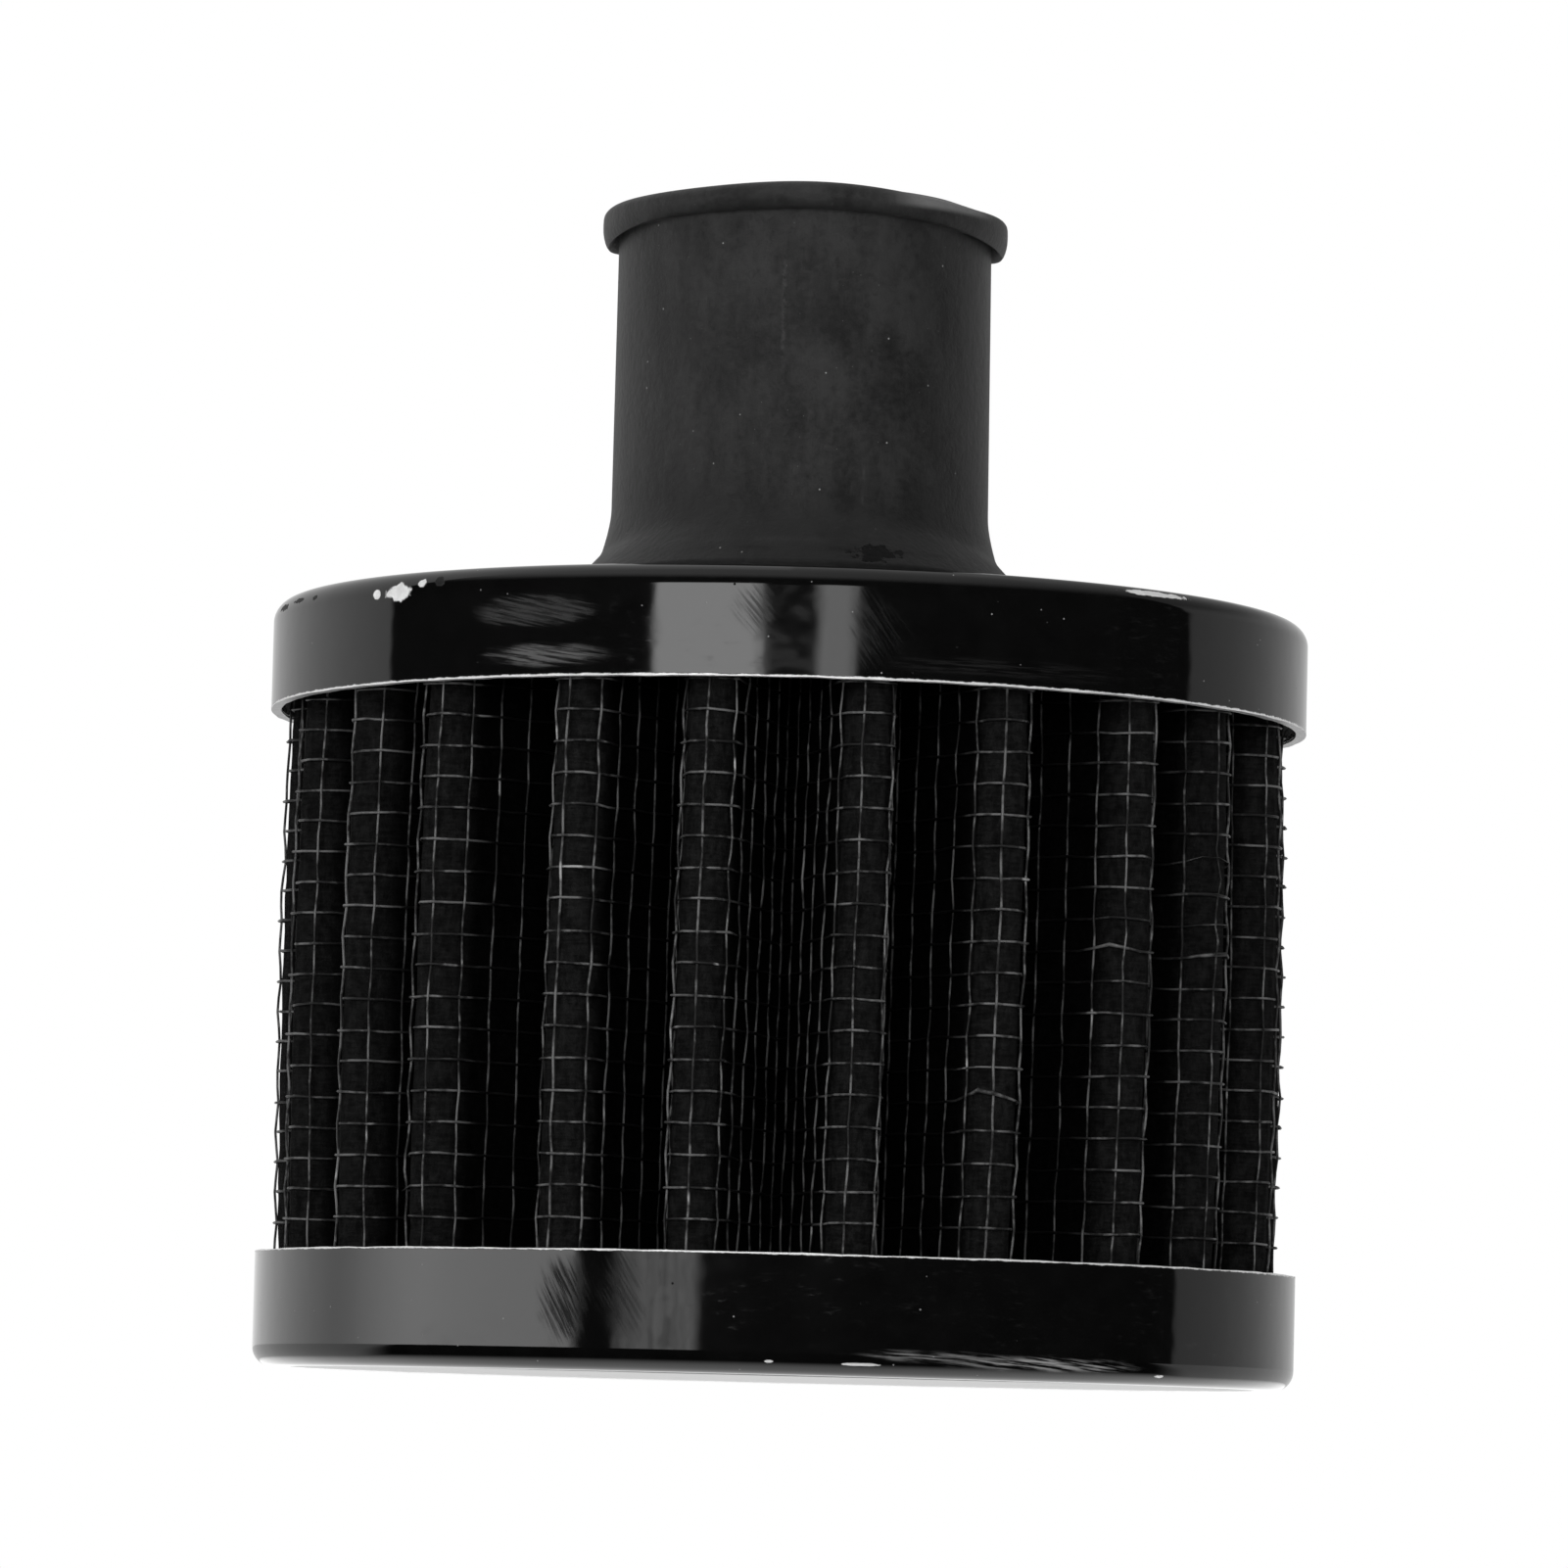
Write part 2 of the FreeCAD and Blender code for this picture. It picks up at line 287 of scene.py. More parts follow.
class Finish(Shading):
    """A procedural material with one Principled shader, whose places are in millimetres."""

    def __init__(self, name, **fixed):
        self.material = bpy.data.materials.new(name)
        self.material.use_nodes = True
        super().__init__(self.material.node_tree)
        self.shader = self.tree.nodes["Principled BSDF"]
        self.set(**fixed)
        place = self.node("ShaderNodeTexCoord", {})["Object"]
        self.place = self.vector("SCALE", place, Scale=1 / MM)
        apart = self.node("ShaderNodeSeparateXYZ", {}, self.place)
        self.x, self.y, self.z = apart["X"], apart["Y"], apart["Z"]
        self.radius = (self.x * self.x + self.y * self.y).root()

    def set(self, **sockets):
        for name, value in sockets.items():
            self.feed(self.shader.inputs[name.replace("_", " ")], value)

    def noise(self, scale, detail=3.0, rough=0.5, stretch=(1, 1, 1)):
        """Noise from 0 to 1 with features of about 1 / scale millimetres."""
        return self.clouds(self.vector("MULTIPLY", self.place, stretch), scale, detail, rough)

    def streaks(self, slant, length, width):
        """Noise drawn out along scratches on a cap's wall, given their slant in degrees."""
        along = self.bearing() * (math.pi / 180 * CAP_RADIUS)
        cosine, sine = math.cos(math.radians(slant)), math.sin(math.radians(slant))
        run = (along * cosine + self.z * sine) / length
        across = (self.z * cosine - along * sine) / width
        where = self.node("ShaderNodeCombineXYZ", {}, run, across, 0.0)["Vector"]
        return self.clouds(where, 1.0, 3.0, 0.6)

    def bearing(self):
        """Degrees round the axis from the front, positive to the right."""
        return self.x.math("ARCTAN2", self.y * -1) * (180 / math.pi)

    def specks(self, scale, size):
        """Round specks scattered one to a cell, 1 inside each."""
        return self.node("ShaderNodeTexVoronoi", {}, Vector=self.place,
                         Scale=scale)["Distance"].fade(size, size * 0.6)

    def spot(self, centre, size, ragged=0.4, grain=1.5):
        """1 inside a ragged oval patch round a point, given its half sizes."""
        apart = self.vector("SUBTRACT", self.place, centre)
        far = self.vector("LENGTH", self.vector("DIVIDE", apart, size))
        return (far + (self.noise(grain, 4.0, 0.65) - 0.5) * (ragged * 4)).fade(1.1, 0.9)

    def bump(self, height, depth):
        """Relief of a depth in millimetres."""
        self.set(Normal=self.node("ShaderNodeBump", {}, Height=height, Distance=depth * MM,
                                  Strength=1.0)["Normal"])


def grey(level):
    return (level, level, level, 1.0)


# Finishes

# chips and nicks of each cap's paint: a point, then half sizes
TOP_CHIPS = [((-18.6, -17.44, 36.5), (0.85, 0.85, 0.42)), ((-19.7, -16.2, 36.5), (0.25, 0.25, 0.2)),
             ((-17.5, -18.55, 36.85), (0.28, 0.28, 0.22)), ((17.4, -18.6, 37.2), (2.2, 1.9, 0.14))]
TOP_NICKS = [((-24.6, -6.2, 36.75), (0.5, 1.0, 0.14)), ((-23.7, -8.9, 36.85), (0.5, 0.9, 0.12)),
             ((-16.6, -19.3, 36.9), (0.25, 0.25, 0.2)), ((-22.9, -11.1, 36.8), (0.2, 0.3, 0.12))]
# rubbed patches: bearing, height, half sizes in degrees and millimetres, slant, dullness and chalk
TOP_RUBS = [(-27.5, 35.3, 8, 0.85, -12, 0.9, 0.05), (-27.0, 33.2, 8, 0.6, -8, 0.9, 0.2),
            (-4, 35.4, 3, 1.5, -50, 0.4, 0.0), (9.5, 34.4, 4, 2.4, -55, 0.6, 0.0),
            (24, 33.0, 16, 0.5, 0, 0.4, 0.02)]
BOTTOM_RUBS = [(30, 0.8, 14, 0.38, -5, 0.6, 0.7), (17, 1.0, 9, 0.3, -3, 0.6, 0.35),
               (-16, 3.6, 3.5, 2.3, -58, 0.5, 0.0), (-22.5, 3.4, 3.5, 2.4, -62, 0.6, 0.0)]
BOTTOM_CHIPS = [((18.3, -17.8, 0.42), (0.4, 0.4, 0.09)), ((4.0, -25.2, 0.56), (0.85, 0.5, 0.07)),
                ((-0.2, -25.5, 0.6), (0.22, 0.5, 0.07))]


def paint(name, rim, edge, chips, nicks, rubs):
    """Gloss black paint, dusty and rubbed in patches, with bare metal at its cut rim and in chips."""
    coat = Finish(name, Specular_IOR_Level=0.5, IOR=1.5)
    rim_wander = (coat.noise(1.6, 4.0, 0.7) - 0.5) * 0.5
    bare = ((coat.z - rim).absolute() + rim_wander * edge * 5).fade(edge * 1.4, edge * 0.8)
    for centre, size in chips:
        bare = bare.bigger(coat.spot(centre, size))
    dents = coat.noise(0.02, 1.0)
    nicked = coat.specks(0.5, 0.03)
    for centre, size in nicks:
        nicked = nicked.bigger(coat.spot(centre, size, 0.6, 2.5))
    dents = dents - nicked * 0.6
    scuffs = coat.noise(0.9, 5.0, 0.7, (1, 1, 4)).fade(0.55, 0.75)
    scuffs = scuffs * coat.noise(0.12, 2.0).fade(0.48, 0.62) * 0.3
    chalk = scuffs * 0.05
    for bearing, height, reach, rise, slant, dull, pale in rubs:
        across = (coat.bearing() - bearing) / reach
        up = (coat.z - height) / rise
        patch = ((across * across + up * up).root() + coat.noise(0.5, 3.0) * 0.8).fade(1.5, 0.7)
        lines = coat.streaks(slant, 2.6, 0.14).fade(0.42, 0.62)
        scuffs = scuffs.bigger(patch * (lines * 0.75 + 0.25) * dull)
        chalk = chalk.bigger(patch * lines * pale)
    dust = coat.specks(0.9, 0.045)
    tint = coat.blend(coat.noise(0.8, 3.0), grey(0.001), grey(0.003))
    tint = coat.blend(chalk, tint, grey(0.3))
    tint = coat.blend(dust * 0.8, tint, grey(0.2))
    metal = coat.blend(coat.noise(3.0, 4.0, 0.7), grey(0.45), grey(0.95))
    coat.set(Base_Color=coat.blend(bare, tint, metal), Metallic=bare * 0.35,
             Roughness=(0.05 + scuffs * 0.45 + dust * 0.5 + nicked * 0.6).bigger(bare * 0.38))
    coat.bump(dents * 0.4 + coat.noise(0.35, 2.0) * 0.12 - bare * 0.25, 0.12)
    return coat.material


# marks and painted light on the rubber: spans of bearing, height or radius, and the torn scrap as a
# point and half sizes; the crease band and the lip's worn strip carry painted highlight, and the fold
# line, the foot, the right side and the torn hollow painted shade
SEAM_BEARING = (-5.2, -4.2)
SEAM_HEIGHT = (49, 54)
CREASE_HIGHLIGHT_HEIGHT = (40.15, 40.4)
FOLD_SHADOW_HEIGHT = (39.7, 39.9)
FOOT_SHADE = (44.5, 40.0)
RIGHT_SHADE = (15, 70)
LIP_WEAR_AND_HIGHLIGHT_BEARING = (30, 62)
LIP_WEAR_AND_HIGHLIGHT_HEIGHT = (56.75, 57.1)
LIP_WEAR_AND_HIGHLIGHT_RADIUS = (8.4, 9.3)
TEAR = ((3.9, -10.4, 39.65), (1.05, 1.6, 0.4))


def rubber():
    """Matte moulded rubber, a little dusty, with flow marks and a torn scrap of flash at its base;
    painted shade blackens the torn hollow and a fold line and darkens the foot and the right side, and
    painted highlight pales a crease band and a worn strip on the lip.
    """
    skin = Finish("moulded_rubber", Specular_IOR_Level=0.42, Sheen_Weight=0.04, Sheen_Roughness=0.5)
    cloud = skin.noise(0.35, 4.0, 0.6, (1, 1, 0.6))
    fine = skin.noise(2.5, 5.0, 0.7)
    flow = skin.noise(0.9, 4.0, 0.65, (1, 1, 0.3))
    marks = skin.noise(2.2, 3.0, 0.6, (1, 1, 0.12)).fade(0.66, 0.74) * cloud.fade(0.45, 0.6)
    dust = skin.specks(0.8, 0.045).bigger(skin.specks(1.7, 0.035) * 0.7)
    tear = skin.spot(*TEAR, 0.7, 2.0)
    mottle = cloud * 0.45 + fine * 0.35 + flow * 0.2
    level = skin.blend(mottle.fade(0.36, 0.64), grey(0.007), grey(0.022))
    seam = skin.bearing().within(*SEAM_BEARING, 0.5) * skin.z.within(*SEAM_HEIGHT, 1.5)
    seam = seam * fine.fade(0.4, 0.6)
    # painted highlight: a paler band along the crease of the foot's flare, blended in with the seam
    # and marks below
    crease = skin.z.within(*CREASE_HIGHLIGHT_HEIGHT, 0.12) * cloud.fade(0.45, 0.6)
    # painted shadow: a dark line in the fold just below the crease
    fold = skin.z.within(*FOLD_SHADOW_HEIGHT, 0.12) * cloud.fade(0.62, 0.5)
    level = skin.blend(seam.bigger(crease).bigger(marks) * 0.5, level, grey(0.045))
    level = skin.blend(skin.z.fade(*FOOT_SHADE) * 0.75, level, grey(0.003))
    level = skin.blend(skin.bearing().fade(*RIGHT_SHADE) * 0.4, level, grey(0.003))
    # painted shade: the torn hollow and the fold's shadow line are painted towards black
    level = skin.blend(tear.bigger(fold * 0.7), level, grey(0.0))
    # painted highlight and wear: a paler strip along the top of the lip at the right, where the lip is
    # also worn down
    worn = skin.bearing().within(*LIP_WEAR_AND_HIGHLIGHT_BEARING, 8) * skin.z.fade(*LIP_WEAR_AND_HIGHLIGHT_HEIGHT)
    worn = worn * skin.radius.fade(*LIP_WEAR_AND_HIGHLIGHT_RADIUS)
    level = skin.blend(worn * 0.8, level, grey(0.12))
    skin.set(Base_Color=skin.blend(dust * 0.6, level, grey(0.3)),
             Roughness=0.48 + cloud * 0.12 + fine * 0.1 + tear * 0.3)
    skin.bump(fine * 0.6 + flow * 0.25 + cloud - tear * 4, 0.1)
    return skin.material


def wire(name, shade_share):
    """Blackened wire with painted highlights in brighter patches and glints, and painted shade over a
    share of it behind the crests.
    """
    metal = Finish(name, Metallic=0.2)
    patches = metal.noise(0.7, 4.0, 0.65)
    glints = metal.noise(0.45, 2.0).fade(0.68, 0.74)
    # painted shade: the wire's colour fades towards black behind the crests, and further towards the
    # inner folds
    shown = metal.radius.fade(CREST_RING - SHADE_DEPTH, CREST_RING + 0.5) * shade_share + (1 - shade_share)
    shown = shown * (0.45 + metal.radius.fade(INNER_FOLD_RING, DEEP_SHADE_RING) * 0.55)
    # painted highlights: brighter patches and glints in the colour stand in for the wires' shine at
    # their crimps
    worn = metal.blend(patches.fade(0.43, 0.62), grey(0.015), grey(0.12))
    worn = metal.blend(glints, worn, grey(0.3))
    metal.set(Base_Color=metal.blend(shown, grey(0.003), worn), Roughness=0.3 + patches * 0.2,
              Specular_IOR_Level=0.3)
    metal.bump(metal.noise(6.0, 3.0), 0.02)
    return metal.material


def gauze():
    """Dark felted gauze with loose fibres, darkened by painted shade so that it is blackest deep
    between the pleats.
    """
    felt = Finish("dark_gauze", Roughness=0.95, Specular_IOR_Level=0.08)
    fibres = felt.noise(2.4, 6.0, 0.75, (1, 1, 0.5))
    threads = felt.noise(4.0, 5.0, 0.7, (0.3, 0.3, 1.8))
    tufts = (fibres * 0.6 + threads * 0.4).fade(0.38, 0.66)
    # painted shade: the colour drops to 0.15 of itself deep between the pleats and is full only at the
    # crests
    crest = felt.radius.fade(CREST_RING - 1.0, CREST_RING + 0.3)
    level = (0.003 + tufts * 0.008) * (0.15 + crest * 0.85)
    felt.set(Base_Color=felt.blend(level, grey(0.0), grey(1.0)))
    felt.bump(fibres + threads * 0.7, 0.2)
    return felt.material


def resin():
    """Cast resin, dark and slightly glossy."""
    cast = Finish("cast_resin", Specular_IOR_Level=0.45)
    ripple = cast.noise(0.6, 4.0, 0.6)
    cast.set(Base_Color=cast.blend(ripple, grey(0.02), grey(0.05)), Roughness=0.3 + ripple * 0.25)
    cast.bump(ripple, 0.2)
    return cast.material


def screen():
    """The inner mesh, seen only down the bore: bright wires over dark gauze."""
    cloth = Finish("inner_screen", Roughness=0.5)
    rows = (cloth.z / ROW_PITCH).math("FRACT").within(0.4, 0.6, 0.05)
    around = cloth.y.math("ARCTAN2", cloth.x) * (INNER_FOLD_RING / WARP_PITCH)
    bars = around.math("FRACT").within(0.4, 0.6, 0.05)
    wires = rows.bigger(bars)
    cloth.set(Base_Color=cloth.blend(wires, grey(0.03), grey(0.5)), Metallic=wires * 0.5)
    cloth.bump(wires, 0.15)
    return cloth.material


# Turned pieces

TURNS = 256
TURNED_CREASE = 35


def arc(centre, radius, start, end, steps=10):
    """Points of an arc in a section, its angles in degrees from straight outwards."""
    angles = np.radians(np.linspace(start, end, steps + 1))
    return [(centre[0] + radius * math.cos(angle), centre[1] + radius * math.sin(angle))
            for angle in angles]


def divide(points, longest):
    """Add points along the runs of a section, so that none off the axis is longer than given."""
    out = []
    for here, there in zip(points, points[1:] + points[:1]):
        run = math.dist(here, there)
        count = max(1, math.ceil(run / longest)) if here[0] + there[0] > 1 else 1
        out += [(here[0] + (there[0] - here[0]) * step / count,
                 here[1] + (there[1] - here[1]) * step / count) for step in range(count)]
    return out


def turned(name, section, material, shape):
    """Revolve a closed section into a smooth mesh; shape moves each point, given its angle."""
    maker = bmesh.new()
    rings = []
    for radius, height in section:
        if radius < 1e-6:
            rings.append([maker.verts.new((0, 0, height * MM))] * TURNS)
            continue
        ring = []
        for turn in range(TURNS):
            angle = 2 * math.pi * turn / TURNS
            point = Vector((radius * math.sin(angle), -radius * math.cos(angle), height))
            ring.append(maker.verts.new(shape(point, angle, radius, height) * MM))
        rings.append(ring)
    for ring, other in zip(rings, rings[1:] + rings[:1]):
        if ring[0] is ring[1] and other[0] is other[1]:
            continue
        for turn in range(TURNS):
            after = (turn + 1) % TURNS
            corners = [ring[turn], ring[after], other[after], other[turn]]
            maker.faces.new(dict.fromkeys(corners))
    bmesh.ops.recalc_face_normals(maker, faces=maker.faces)
    return finish_piece(name, maker, material, TURNED_CREASE)


def finish_piece(name, maker, material, crease):
    """Make the piece from its mesh, smooth up to an edge angle of crease degrees."""
    mesh = bpy.data.meshes.new(name)
    maker.to_mesh(mesh)
    maker.free()
    mesh.shade_smooth()
    mesh.set_sharp_from_angle(angle=math.radians(crease))
    mesh.materials.append(material)
    piece = add_object(name, mesh)
    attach(piece, "root")
    return piece


def ripple(angle, seed, waves, size):
    """A closed wavy offset round a ring, the same for each seed."""
    dice = random.Random(seed)
    return size * sum(math.sin(wave * angle + dice.uniform(0, 6.28)) * dice.uniform(0.4, 1)
                      for wave in waves) / len(waves) ** 0.5


def cap_section(low, high, closed_at, hole):
    """Section of a pressed cup between two heights; closed_at is the height of its flat outer face."""
    side = 1 if closed_at == low else -1
    rim = high if side == 1 else low
    inner = CAP_RADIUS - CAP_SHEET
    bend = SHOULDER - CAP_SHEET
    outer_bend = arc((CAP_RADIUS - SHOULDER, closed_at + side * SHOULDER), SHOULDER, -90 * side, 0)
    inner_bend = arc((inner - bend, closed_at + side * SHOULDER), bend, 0, -90 * side, 6)
    near_bend = [(CAP_RADIUS - SHOULDER - BEND_GUARD, closed_at)] + outer_bend
    near_bend.append((CAP_RADIUS, closed_at + side * (SHOULDER + BEND_GUARD)))
    wall = [(CAP_RADIUS, rim), (inner, rim)]
    face = [(hole, closed_at)]
    inside = [(hole, closed_at + side * CAP_SHEET)]
    return divide(face + near_bend + wall + inner_bend + inside, CAP_STEP)


def cap_shape(rim, seed):
    """Unevenness of a pressed cup: a gently wavy wall and a roughly cut rim."""

    def move(point, angle, radius, height):
        wall = ripple(angle, seed, (2, 3, 5, 7), WALL_WAVE) * min(1.0, radius / CAP_RADIUS)
        near_rim = max(0.0, 1 - abs(height - rim) / RIM_RAG_REACH)
        rag = ripple(angle, seed + 1, (9, 17, 31, 53, 71), RIM_RAG) * near_rim
        outward = Vector((point.x, point.y, 0)).normalized()
        return point - outward * abs(wall) + Vector((0, 0, rag))

    return move


def make_caps():
    top_rim, top_face = TOP_LOW.z, TOP_HIGH.z
    bottom_face, bottom_rim = 0.0, BOTTOM_HIGH.z
    top_paint = paint("top_paint", top_rim, TOP_BARE_EDGE, TOP_CHIPS, TOP_NICKS, TOP_RUBS)
    bottom_paint = paint("bottom_paint", bottom_rim, BOTTOM_BARE_EDGE, BOTTOM_CHIPS, (), BOTTOM_RUBS)
    top = turned("top_cap_shell", cap_section(top_rim, top_face, top_face, NECK_HOLE_RADIUS),
                 top_paint, cap_shape(top_rim, 3))
    bottom = turned("bottom_cap_shell", cap_section(bottom_face, bottom_rim, bottom_face, 0.0),
                    bottom_paint, cap_shape(bottom_rim, 8))
    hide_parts("top_cap")
    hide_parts("bottom_cap")


def bell(value, centre, reach):
    """1 at the centre, and fading to nothing past the reach."""
    return math.exp(-((value - centre) / reach) ** 2)


def neck_shape(point, angle, radius, height):
    """Set of the soft neck, its worn lip and the droop of the lip's edge at both sides."""
    face, top = TOP_HIGH.z, NECK_HIGH.z
    degrees = (math.degrees(angle) + 180) % 360 - 180
    rise = max(0.0, (height - face) / (top - face))
    aside = (FOOT_LEAN - LEAN_LOSS * rise) * min(1.0, rise * 20)
    near_top = max(0.0, 1 - (top - height) / WORN_REACH)
    outer = max(0.0, min(1.0, (radius - OUTSIDE_RADIUS) / WORN_SKIN))
    worn = WORN_EVENLY + WORN_AROUND * (1 - bell(degrees, *FULL_SPOT))
    worn = (worn + WORN_SIDE * bell(degrees, *WORN_SPOT)) * near_top * outer
    low = max(0.0, min(1.0, (top - DROOP_TOP - height) / (LIP_HEIGHT - DROOP_TOP)))
    reach = max(0.0, min(1.0, (radius - NECK_TOP_RADIUS - DROOP_INSET) / DROOP_REACH))
    droop = LIP_DROOP * abs(math.sin(angle)) ** 5 * low * reach
    swell = ripple(angle, 5, (2, 3, 4), NECK_SWELL) * rise if radius > OUTSIDE_RADIUS else 0
    outward = Vector((math.sin(angle), -math.cos(angle), 0))
    return point + outward * swell + Vector((aside, 0, -worn - droop))


def make_neck():
    """The rubber neck, from the flange under the cap's sheet to the rolled lip."""
    grip_bottom, face, top = NECK_LOW.z, TOP_HIGH.z, NECK_HIGH.z
    base_edge = face + BASE_THICKNESS
    flare_top = base_edge + FLARE_HEIGHT
    slope = math.degrees(math.atan2(FLARE_HEIGHT, BASE_RADIUS - NECK_BASE_RADIUS))
    reach = FLARE_FILLET * math.tan(math.radians((90 - slope) / 2))
    fillet = arc((NECK_BASE_RADIUS + FLARE_FILLET, flare_top + reach), FLARE_FILLET,
                 270 - slope, 180, 8)
    lip = top - LIP_HEIGHT
    roll = LIP_RADIUS - LIP_ROUND
    section = [
        (BORE_RADIUS, grip_bottom + BORE_CHAMFER),
        (BORE_RADIUS + BORE_CHAMFER, grip_bottom),
        (GRIP_RADIUS - BORE_CHAMFER, grip_bottom),
        (GRIP_RADIUS, grip_bottom + BORE_CHAMFER),
        (GRIP_RADIUS, face - CAP_SHEET),
        (NECK_HOLE_RADIUS - GROOVE_GAP, face - CAP_SHEET),
        (NECK_HOLE_RADIUS - GROOVE_GAP, face),
        (BASE_RADIUS - BASE_ROUND / 2, face),
    ]
    section += arc((BASE_RADIUS - BASE_ROUND, base_edge - BASE_ROUND_DROP), BASE_ROUND, -20, slope, 5)
    section += fillet
    section += arc((NECK_TOP_RADIUS + ROOT_ROUND, lip - ROOT_ROUND), ROOT_ROUND, 180, 90, 4)
    section += arc((roll, lip + LIP_ROUND), LIP_ROUND, -90, 0, 8)
    section += arc((roll, top - LIP_ROUND), LIP_ROUND, 0, 90, 8)
    section += [(BORE_RADIUS + BORE_CHAMFER, top), (BORE_RADIUS, top - BORE_CHAMFER)]
    neck = turned("rubber_neck", divide(section, NECK_STEP), rubber(), neck_shape)
    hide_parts("neck")


# Pleats and woven wire


def polar(radius, degrees):
    angle = math.radians(degrees)
    return np.array([radius * math.sin(angle), -radius * math.cos(angle)])


def pleat_folds():
    """Centres of the crests and inner folds, and the outward normals of the flanks between them."""
    unseen = PLEATS - len(FRONT_CRESTS)
    behind = np.linspace(FRONT_CRESTS[-1], FRONT_CRESTS[0] + 360, unseen + 2)[1:-1]
    bearings = FRONT_CRESTS + [bearing + ripple(bearing, 4, (1, 2, 3), CREST_LEAN)
                               for bearing in behind]
    crests = [polar(CREST_RING, bearing) for bearing in bearings]
    inner = [polar(INNER_FOLD_RING, (here + there) / 2)
             for here, there in zip(bearings, bearings[1:] + [bearings[0] + 360])]

    def normal(crest, fold, side):
        run = fold - crest
        length = np.hypot(*run)
        run = run / length
        cosine = 2 * FOLD_RADIUS / length
        return run * cosine + np.array([-run[1], run[0]]) * -side * math.sqrt(1 - cosine ** 2)

    falling = [normal(crest, inner[index], 1) for index, crest in enumerate(crests)]
    rising = [normal(crest, inner[index - 1], -1) for index, crest in enumerate(crests)]
    return crests, inner, rising, falling


def pleat_path(offset):
    """Points and outward normals, finely spaced, along a closed line parallel to the folds.

    A fold with no radius left at that distance becomes one mitred point.
    """
    crests, inner, rising, falling = pleat_folds()
    points, normals = [], []

    def turn(centre, radius, side, before, after):
        middle = before + after
        if radius <= 1e-6:
            points.append(centre + middle * side * radius / (1 + before @ after))
            normals.append(middle / np.hypot(*middle))
            return
        swing = math.acos(max(-1.0, min(1.0, before @ after)))
        for step in range(FOLD_STEPS + 1):
            share = step / FOLD_STEPS
            out = before * math.sin((1 - share) * swing) + after * math.sin(share * swing)
            out = out / math.sin(swing)
            points.append(centre + out * side * radius)
            normals.append(out)

    for index, crest in enumerate(crests):
        after = (index + 1) % PLEATS
        turn(crest, FOLD_RADIUS + offset, 1, rising[index], falling[index])
        turn(inner[index], FOLD_RADIUS - offset, -1, falling[index], rising[after])
    return np.array(points), np.array(normals)


def resample(points, normals, spacing, multiple):
    """Even points along the closed line, their number a multiple, and their normals."""
    loop = np.vstack([points, points[:1]])
    along = np.concatenate([[0], np.cumsum(np.hypot(*np.diff(loop, axis=0).T))])
    count = multiple * round(along[-1] / spacing / multiple)
    places = np.linspace(0, along[-1], count, endpoint=False)
    out = [np.interp(places, along, loop[:, axis]) for axis in (0, 1)]
    closed = np.vstack([normals, normals[:1]])
    facing = np.stack([np.interp(places, along, closed[:, axis]) for axis in (0, 1)], 1)
    facing /= np.hypot(*facing.T)[:, None]
    return np.stack(out, 1), facing


def wire_guide(name, points, sign, outward=None, closed=False, joined=True):
    """A bare line, or points when not joined, that carries the crossing signs of the weave."""
    count = len(points)
    edges = [(index, (index + 1) % count) for index in range(count if closed else count - 1)]
    mesh = bpy.data.meshes.new(name)
    mesh.from_pydata([tuple(point) for point in points], edges if joined else [], [])
    layer = mesh.attributes.new("strand_sign" if joined else "place_sign", "FLOAT", "POINT")
    layer.data.foreach_set("value", np.asarray(sign, np.float32))
    if outward is not None:
        facing = np.zeros((count, 3), np.float32)
        facing[:, :2] = outward
        layer = mesh.attributes.new("outward", "FLOAT_VECTOR", "POINT")
        layer.data.foreach_set("vector", facing.ravel())
    return add_object(name, mesh)


